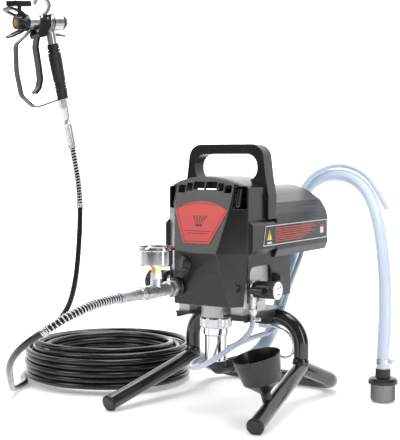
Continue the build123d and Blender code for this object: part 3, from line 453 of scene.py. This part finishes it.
LEVEL_STRETCH = 0.2  # turns that a new column runs level before it climbs or drops
ROW_LOW_INNER = ROW_HIGH - ROW_PITCH * (COLUMNS[1][0] - COLUMNS[0][0] - LEVEL_STRETCH)
ENTRY_RADIUS = 157
ENTRY_TURNS = 0.35
COLUMN_CHANGE_TURNS = 0.3
EXIT_RADIUS = 138.5
EXIT_HEIGHT = 76.0
EXIT_RISE_TURNS = 0.75
EXIT_DRIFT_TURNS = 0.4
WANDER = 1.5
WANDER_RATE = 0.37


def eased(value):
    """From 0 to 1, starting and stopping gently."""
    value = min(1.0, max(0.0, value))
    return value * value * (3 - 2 * value)


def coil_point(turn):
    """Coil wound clockwise: up the outer column, down the middle one, up the inner one."""
    (first, outer), (second, middle), (_, inner) = COLUMNS
    if turn < first:
        radius, height = outer, ROW_LOW + ROW_PITCH * turn
        radius += (ENTRY_RADIUS - radius) * (1 - eased(turn / ENTRY_TURNS))
    elif turn < second:
        radius, height = middle, ROW_HIGH - ROW_PITCH * max(0, turn - first - LEVEL_STRETCH)
        radius += (outer - radius) * (1 - eased((turn - first) / COLUMN_CHANGE_TURNS))
    else:
        radius, height = inner, ROW_LOW_INNER + ROW_PITCH * max(0, turn - second - LEVEL_STRETCH)
        radius += (middle - radius) * (1 - eased((turn - second) / COLUMN_CHANGE_TURNS))
    left = COIL_TURNS - turn
    rise = 1 - eased(left / EXIT_RISE_TURNS)
    height += (EXIT_HEIGHT - height) * rise
    radius += (EXIT_RADIUS - radius) * (1 - eased(left / EXIT_DRIFT_TURNS))
    radius += WANDER * sin(tau * turn * WANDER_RATE + 1) * (1 - rise)
    angle = ENTRY_ANGLE - tau * turn
    reach = radius / cos(pi / TURN_POINTS)
    return (COIL_CENTRE[0] + reach * cos(angle), COIL_CENTRE[1] + reach * sin(angle), height)


coil_steps = int(COIL_TURNS * TURN_POINTS)
coil_route = [coil_point(step / TURN_POINTS) for step in range(1, coil_steps)]
hose = route_curve("pressure_hose", [at(*p) for p in PUMP_ROUTE + coil_route + GUN_ROUTE], HOSE_D)
settle(hose, FINISH["hose_black"], "root")
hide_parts("pressure_hose_pump", "pressure_hose_coil", "pressure_hose_gun")
hose_line = centreline(hose)
hose_length = length_of(hose_line)

GUARD_WIRE = 0.0021
GUARD_RADIUS = 0.0067
GUARD_LEAD = 0.0058
CLOSED_LEAD = 0.0023
PUMP_GUARD = 0.146
GUN_GUARD = 0.112
CLOSED_END = 0.009
open_winding = [(GUARD_RADIUS, GUARD_LEAD, 0, 1)]
closed_winding = [(GUARD_RADIUS, CLOSED_LEAD, 0, 1)]
spring_pieces = []
for label, node_name, start, end, closed in (
    ("spring_wire_pump", "spring_guard_pump", 0.001, PUMP_GUARD, (PUMP_GUARD, PUMP_GUARD + CLOSED_END)),
    ("spring_wire_gun", "spring_guard_gun", hose_length - GUN_GUARD, hose_length - 0.001,
     (hose_length - GUN_GUARD - CLOSED_END, hose_length - GUN_GUARD)),
):
    spring = wound(label, hose_line, start, end, open_winding, GUARD_WIRE)
    settle(spring, FINISH["steel"], "root")
    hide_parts(node_name)
    tail = wound(label + "_end", hose_line, *closed, closed_winding, GUARD_WIRE)
    settle(tail, FINISH["steel"], "root")
    spring_pieces += [spring, tail]

# --- suction hose -------------------------------------------------------------------------

SUCTION_D = 0.023
SUCTION_ROUTE = [
    (8, 44, 66), (13, 72, 69), (20, 103, 76), (26, 134, 96), (28, 161, 128), (24, 187, 162),
    (17, 215, 190), (10, 246, 213), (4, 274, 238), (-3, 287, 268), (-4, 295, 303), (4, 301, 335),
    (20, 308, 362), (43, 316, 378.5), (71, 323, 383), (100, 324, 377), (127, 319, 359),
    (148, 307, 333), (167, 288, 298), (184, 266, 256), (198, 243, 211), (208, 222, 165),
    (215, 203, 124), (218, 189, 88), (218, 189, 56),
]
BRAID_STRANDS = 12
BRAID_LEAD = 0.042
BRAID_THREAD_D = 0.0007
BRAID_RADIUS = SUCTION_D / 2 - 0.0002
suction = route_curve("suction_line", [at(*p) for p in SUCTION_ROUTE], SUCTION_D, 7, 10)
settle(suction, FINISH["clear_braid"], "root")
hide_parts("suction_hose")
suction_line = centreline(suction)
suction_length = length_of(suction_line)
windings = [(BRAID_RADIUS, BRAID_LEAD, tau * strand / BRAID_STRANDS, hand)
            for strand in range(BRAID_STRANDS) for hand in (-1, 1)]
braid = wound("suction_braid", suction_line, 0.001, suction_length - 0.001, windings, BRAID_THREAD_D, 12)
braid.data.bevel_resolution = 0
settle(braid, BRAID_THREAD, "root")


BAND_THICK = 0.8
SCREW_LIFT = 3.2
CLAMP_SCREW = [(0, -8), (3.2, -8), (3.4, -7.4), (3.4, -3), (2.4, -3), (2.4, 7), (0, 7)]


def hose_clamp(name, line, distance, radius, band=9.0):
    """Worm-drive band round a hose, with its screw housing."""
    place, along = stretch(line, distance, distance + 0.001, 0.001)[0]
    spot = Vector(place) / MM + FRAME_ORIGIN
    base = basis(spot, along, Z)
    half = band / 2
    ring = lathe(name + "_band", rectangle(radius, -half, radius + BAND_THICK, half), base, 64)
    on_band = Matrix.Rotation(pi / 2, 4, "X") @ Matrix.Translation((0, 0, radius * MM))
    housing = plate(name + "_box", rectangle(-5, -half, 5, half), base @ on_band, 4.5, 1)
    over_band = Matrix.Translation((0, -(radius + SCREW_LIFT) * MM, 0)) @ Matrix.Rotation(pi / 2, 4, "Y")
    screw = lathe(name + "_screw", CLAMP_SCREW, base @ over_band, 24)
    return settle(joined(name, [ring, housing, screw]), FINISH["steel"], "root")


clamps = [hose_clamp("suction_clamp_pump", suction_line, 0.012, 11.7),
          hose_clamp("suction_clamp_strainer", suction_line, suction_length - 0.012, 11.7)]

STRAINER = (218, 189)
WEAVE_RADIUS = 20.6
WEAVE_LOW, WEAVE_HEIGHT = 3.5, 26.5
WEAVE_ROWS, WEAVE_COLUMNS = 13, 56
WEAVE_WIRE = 0.0006
weave_shape = bmesh.new()
grid = [[weave_shape.verts.new((WEAVE_RADIUS * MM * cos(tau * c / WEAVE_COLUMNS),
                                WEAVE_RADIUS * MM * sin(tau * c / WEAVE_COLUMNS),
                                (WEAVE_LOW + WEAVE_HEIGHT * r / WEAVE_ROWS) * MM))
         for c in range(WEAVE_COLUMNS)] for r in range(WEAVE_ROWS + 1)]
for r in range(WEAVE_ROWS):
    for c in range(WEAVE_COLUMNS):
        d = (c + 1) % WEAVE_COLUMNS
        weave_shape.faces.new((grid[r][c], grid[r][d], grid[r + 1][d], grid[r + 1][c]))
weave = from_bmesh("strainer_weave", weave_shape, basis((*STRAINER, 0), Z))
wires = weave.modifiers.new("wires", "WIREFRAME")
wires.thickness = WEAVE_WIRE
settle(weave, FINISH["mesh_steel"], "root")

# --- return tube --------------------------------------------------------------------------

RETURN_D = 0.009
RETURN_ROUTE = [
    (71, -3, 160), (71, -3, 148), (69.5, -7.5, 136), (65, -15.5, 126), (56, -25, 116), (43, -35, 106),
    (27, -44, 93), (7, -47, 80), (-14, -44, 72), (-30, -31, 70), (-37, -11, 73), (-30, 10, 80),
    (-12, 27, 88), (8, 42, 97), (25, 58, 106), (37, 78, 112), (43, 100, 113.5), (47, 121, 121),
    (48, 140, 142), (47, 158, 165), (44, 179, 186), (38, 208, 203), (31, 240, 220), (25, 270, 241),
    (20, 276, 268), (13, 277, 300), (9, 279, 332), (17, 286, 361), (36, 300, 388), (72, 317, 402.5),
    (110, 320, 394.5), (145, 315, 371), (178, 300, 322),
]
drain = route_curve("return_line", [at(*p) for p in RETURN_ROUTE], RETURN_D, 6, 10)
settle(drain, FINISH["clear_tube"], "root")
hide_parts("return_tube")
drain_bore = route_curve("return_line_bore", [at(*p) for p in RETURN_ROUTE], RETURN_D * 0.55, 4, 10)
settle(drain_bore, BORE_BLUE, "root")
drain_line = centreline(drain)
drain_clamp = hose_clamp("return_clamp", drain_line, 0.006, 4.6, 5)

# --- housing details ----------------------------------------------------------------------

BAND_X = 83.0
LABEL_FRONT, LABEL_BACK = 8.0, 250.0
LABEL_LOW, LABEL_HIGH = 270.5, 304.0
CHIN = (-66.0, 262.0)
BROW = (-32.0, 376.0)
STRUT_HALF = 59.0
STRUT_Z = 144.0


PANEL_THICK = 0.35
PRINT_THICK = 0.15
PRINT_ROUND = 0.05
BAR_START, BAR_LOW, BAR_PITCH, BAR_HEIGHT = 50, 275.5, 3.6, 1.9
BAR_ENDS = (150, 160, 178, 200, 186, 204, 192)


def side_label():
    """Printed strip along the machine's right side: border, warning triangle and plain bars."""
    face = basis((BAND_X, 0, 0), X, Y)
    frame_line = [(LABEL_FRONT, LABEL_LOW), (LABEL_BACK, LABEL_LOW), (LABEL_BACK, LABEL_HIGH),
                  (LABEL_FRONT + 8, LABEL_HIGH)]
    settle(plate("side_label", frame_line, face, PANEL_THICK), PANEL_BLACK, "root")
    raised = face @ Matrix.Translation((0, 0, PANEL_THICK * MM))
    settle(outline_strip("side_label_border", inset(frame_line, 0.4), 1.3, raised, 0.2),
           SILVER_LINE, "root")
    triangle = [(22, 280), (38, 280), (30, 297)]
    settle(plate("label_triangle", triangle, raised, 0.2), WARNING_YELLOW, "root")
    drop = [(28.9, 287), (31.1, 287), (30.7, 293), (29.3, 293)]
    dot = rectangle(29, 283, 31, 285)
    marks = [plate("mark", shape, raised @ Matrix.Translation((0, 0, 0.2 * MM)), 0.1, 0.02)
             for shape in (drop, dot)]
    settle(joined("label_triangle_mark", marks), MARK_BLACK, "root")

    def printed(name, shape):
        """A flat print on the panel."""
        return plate(name, shape, raised, PRINT_THICK, PRINT_ROUND)

    settle(printed("label_base_bar", rectangle(22, 274, 38, 277)), SILVER_LINE, "root")
    bars = []
    for row, reach in enumerate(BAR_ENDS):
        low = BAR_LOW + row * BAR_PITCH
        bars.append(printed("bar", rectangle(BAR_START, low, reach, low + BAR_HEIGHT)))
    settle(joined("label_bars", bars), PRINT_RED, "root")
    settle(printed("label_block", rectangle(222, 280, 235, 291)), SILVER_LINE, "root")
    settle(printed("label_block_top", rectangle(222, 291, 235, 295)), PRINT_RED, "root")


BADGE_FOOT, BADGE_HALF, BADGE_SIDE, BADGE_ARCH = 24.6, 49.5, 55, 14.5
BORDER_IN, BORDER_WIDTH = 3.2, 0.7


def front_emblem():
    """Dark border and a plain spray-fan emblem on the red front badge."""
    slope = (BROW[0] - CHIN[0]) / (BROW[1] - CHIN[1])
    normal = Vector((0, -1, slope)).normalized()
    origin = Vector((0, CHIN[0] + slope * 15, CHIN[1] + 15)) + normal * 1.2
    face = basis(origin, normal, X)
    arc = [(-BADGE_HALF * cos(pi * i / 12), BADGE_SIDE + BADGE_ARCH * sin(pi * i / 12))
           for i in range(1, 12)]
    shape = [(-BADGE_FOOT, 0), (-BADGE_HALF, BADGE_SIDE), *arc, (BADGE_HALF, BADGE_SIDE), (BADGE_FOOT, 0)]
    border = outline_strip("badge_border", inset(shape, BORDER_IN), BORDER_WIDTH, face, PRINT_THICK)
    settle(border, PRINT_DARK, "root")
    fan = [plate("ray", [(x - 0.5, 34), (x + 0.5, 34), (x * 2.6 + 1.4, 46), (x * 2.6 - 1.4, 46)],
                 face, PRINT_THICK, PRINT_ROUND) for x in (-5, -2.5, 0, 2.5, 5)]
    nozzle = [(-6, 28), (6, 28), (6.8, 32.4), (-6.8, 32.4)]
    fan.append(plate("nozzle", nozzle, face, PRINT_THICK, PRINT_ROUND))
    for low, half in ((20, 24), (16, 18)):
        fan.append(plate("rule", rectangle(-half, low, half, low + 1), face, PRINT_THICK, PRINT_ROUND))
    settle(joined("badge_emblem", fan), PRINT_DARK, "root")


CAP_SHAPE = [(0, 0), (12.5, 0), (12.5, 13), (11.2, 15), (9, 15), (8.4, 14.2), (0, 14.2)]
SOCKET_SHAPE = [(5.6, -1), (9, -1), (9, 1.4), (8.2, 2.4), (5.6, 1.2)]
SCREW_SHAPE = [(0, -1), (4, -1), (4, 1.2), (3.2, 2), (1.6, 2), (1.2, 0.6), (0, 0.6)]
POST_SHAPE = [(0, 0), (3.5, 0), (5.4, 3), (5.4, 31), (3.5, 34), (0, 34)]


def front_caps():
    """Ribbed cap under the badge, and on each side a cover screw and a post in the top pocket."""
    axis = Vector((-0.45, -0.86, 0.22)).normalized()
    cap = lathe("front_cap", CAP_SHAPE, basis(Vector((-20, -56, 242)), axis, Z), 112, 14, 1.3)
    settle(cap, FINISH["black_plastic"], "root")
    for side, label in ((-1, "left"), (1, "right")):
        spot = basis((side * 60, -36, 208), (side * 0.25, -1, -0.15), X)
        socket = lathe("nose_socket_" + label, SOCKET_SHAPE, spot, 48)
        settle(socket, FINISH["black_plastic"], "root")
        head = lathe("nose_screw_" + label, SCREW_SHAPE, spot, 32)
        settle(head, FINISH["dark_metal"], "root")
        along_slope = basis((side * 57.6, -31.5, 333.5), (0, 0.298, 1))
        post = lathe("pocket_post_" + label, POST_SHAPE, along_slope, 40)
        settle(post, FINISH["housing_black"], "root")


def grip_seams():
    """Shallow part lines across the carrying grip."""
    strips = []
    for x in (-33, 0, 33):
        front = basis((x, 30, 436), -Y, X)
        strips.append(plate("seam", rectangle(-0.5, -15, 0.5, 0), front, 0.25, 0.08))
    settle(joined("grip_seams", strips), FINISH["black_plastic"], "root")


KNUCKLE_R = 14.4
BEAD_SHAPE = [(12.2, -1.4), (13.2, -1.2), (13.8, 0), (13.2, 1.2), (12.2, 1.4)]


def stand_welds():
    """Weld swellings where the stand's tubes meet, and beads where they meet the strut."""
    for side, label in ((-1, "left"), (1, "right")):
        knuckle = [(KNUCKLE_R * sin(pi * i / 12), -KNUCKLE_R * cos(pi * i / 12)) for i in range(1, 12)]
        knuckle = [(0, -KNUCKLE_R), *knuckle, (0, KNUCKLE_R)]
        meeting = lathe("apex_weld_" + label, knuckle, basis((side * 107.5, 97.5, 70), Z), 48)
        settle(meeting, FINISH["black_tube"], "root", 60)
        bead = lathe("strut_weld_" + label, BEAD_SHAPE, basis((side * STRUT_HALF, 99, STRUT_Z), X), 56)
        settle(bead, FINISH["black_tube"], "root", 60)


def knob_marks():
    """Small plain marks on the prime knob's white cap."""
    face = basis((118.5, -3, 203), X, Y)
    marks = [plate("mark", rectangle(-6, 3, -2, 4.4), face, 0.3, 0.1),
             plate("mark", [(2, 4), (6.5, 5.2), (6.2, 6.6), (1.7, 5.4)], face, 0.3, 0.1),
             plate("mark", [(-4, -6), (3, -6.8), (3.2, -5.4), (-3.8, -4.6)], face, 0.3, 0.1)]
    settle(joined("knob_marks", marks), MARK_BLACK, "prime")


side_label()
front_emblem()
front_caps()
grip_seams()
stand_welds()
knob_marks()

# --- gauge --------------------------------------------------------------------------------

GAUGE = (-42, -113, 244)
DIAL_LIFT = 23.4
TICK_STEPS, LONG_EVERY = 40, 5
TICK_START, TICK_SWEEP = -45, 270
TICK_OUTER = 22.5
LONG_TICK, SHORT_TICK = (17.5, 0.45), (20, 0.22)  # inner end and half width
DIAL_PRINT_ROUND = 0.03
dial = basis((GAUGE[0], GAUGE[1], GAUGE[2] + DIAL_LIFT), Z)
ticks = []
for step in range(TICK_STEPS + 1):
    angle = radians(TICK_START + TICK_SWEEP * step / TICK_STEPS)
    low, wide = SHORT_TICK if step % LONG_EVERY else LONG_TICK
    turn = dial @ Matrix.Rotation(angle, 4, "Z")
    ticks.append(plate("tick", rectangle(low, -wide, TICK_OUTER, wide), turn, 0.15, DIAL_PRINT_ROUND))
settle(joined("gauge_ticks", ticks), MARK_BLACK, "root")
zone_shape = [(r * cos(radians(a)), r * sin(radians(a)))
              for r, span in ((16.5, range(175, 226, 5)), (14.8, range(225, 174, -5))) for a in span]
zone = plate("gauge_zone", zone_shape, dial, 0.12, DIAL_PRINT_ROUND)
settle(zone, FINISH["needle_red"], "root")

# --- spray gun ----------------------------------------------------------------------------

GUN_PLACE = (-435, 94, 675)
GUN_HEADING = Vector((-0.34, -0.94, 0)).normalized()
GUN_NOSE_DOWN = radians(5)
gun_forward = GUN_HEADING * cos(GUN_NOSE_DOWN) - Z * sin(GUN_NOSE_DOWN)
gun_up = GUN_HEADING * sin(GUN_NOSE_DOWN) + Z * cos(GUN_NOSE_DOWN)
BARREL = basis(GUN_PLACE, gun_forward, gun_up)
CAP_OUTLINE = [(0, -29.2), (14.6, -29.2), (14.9, -30.6), (13.8, -32.4), (11.4, -34.4), (9.8, -37.2),
               (6.6, -38.6), (0, -38.9)]
settle(lathe("gun_end_cap", CAP_OUTLINE, BARREL, 64), FINISH["black_plastic"], "gun")
COLLAR = [(16.3, -7), (17.1, -6.6), (17.1, -4.2), (16.3, -3.8)]
settle(lathe("gun_rear_band", COLLAR, BARREL, 64), FINISH["dark_metal"], "gun")
SEAL_OUTLINE = [(3.4, 67), (5.9, 67), (5.9, 71.2), (5.2, 71.7), (3.4, 69.2)]
settle(lathe("tip_seal", SEAL_OUTLINE, BARREL, 48), SEAL, "guard")
WASHER_OUTLINE = [(0.7, 67.2), (3.38, 67.2), (3.38, 68.4), (1.6, 68.4), (0.7, 67.8)]
settle(lathe("tip_washer", WASHER_OUTLINE, BARREL, 32), FINISH["chrome"], "guard")

# --- floor and light ----------------------------------------------------------------------

def card(name, place, facing, size, glow):
    """White studio card, diffuse and softly glowing, that isn't part of the object."""
    shape = bmesh.new()
    bmesh.ops.create_grid(shape, x_segments=1, y_segments=1, size=size)
    turned = Vector(facing).to_track_quat("Z", "Y").to_matrix().to_4x4()
    made = from_bmesh(name, shape, Matrix.Translation(place) @ turned)
    made.data.materials.append(finish(name, grey(0.93), 0.85, tone=0.01, patch=2,
                                      emission_strength=glow, emission_color=(1, 1, 1, 1)))


WORLD_GLOW = 0.12
FLOOR_HALF, FLOOR_GLOW, FLOOR_DROP = 2.6, 0.3, 0.0004
# The backdrop hides the object from any camera that stands behind it, further away than this.
BACKDROP_AWAY, BACKDROP_HALF, BACKDROP_GLOW = 1.7, 6, 1.0
AWAY = Vector((-sin(CAMERA_AZIMUTH), cos(CAMERA_AZIMUTH), 0))
card("pale_floor", (0, 0, -FLOOR_DROP), (0, 0, 1), FLOOR_HALF, FLOOR_GLOW)
card("pale_backdrop", AWAY * BACKDROP_AWAY, -AWAY, BACKDROP_HALF, BACKDROP_GLOW)

world = bpy.data.worlds.new("studio")
world.use_nodes = True
sky = world.node_tree.nodes["Background"]
sky.inputs["Color"].default_value = (1, 1, 1, 1)
sky.inputs["Strength"].default_value = WORLD_GLOW
bpy.context.scene.world = world
bpy.context.scene.view_settings.view_transform = "Standard"


def softbox(name, place, target, size, power):
    """Rectangular studio lamp, its size in metres, that shines from place towards target."""
    data = bpy.data.lights.new(name, "AREA")
    data.shape = "RECTANGLE"
    data.size, data.size_y = size
    data.energy = power
    light = linked(name, data)
    light.location = at(*place)
    light.rotation_euler = (at(*target) - light.location).to_track_quat("-Z", "Y").to_euler()


softbox("key", (-900, -1300, 1300), (-60, 0, 250), (0.7, 1.3), 12)
softbox("side", (1500, -300, 600), (0, 60, 250), (0.3, 1.5), 9)
softbox("top", (0, 200, 1700), (-100, 50, 200), (1.6, 0.9), 24)
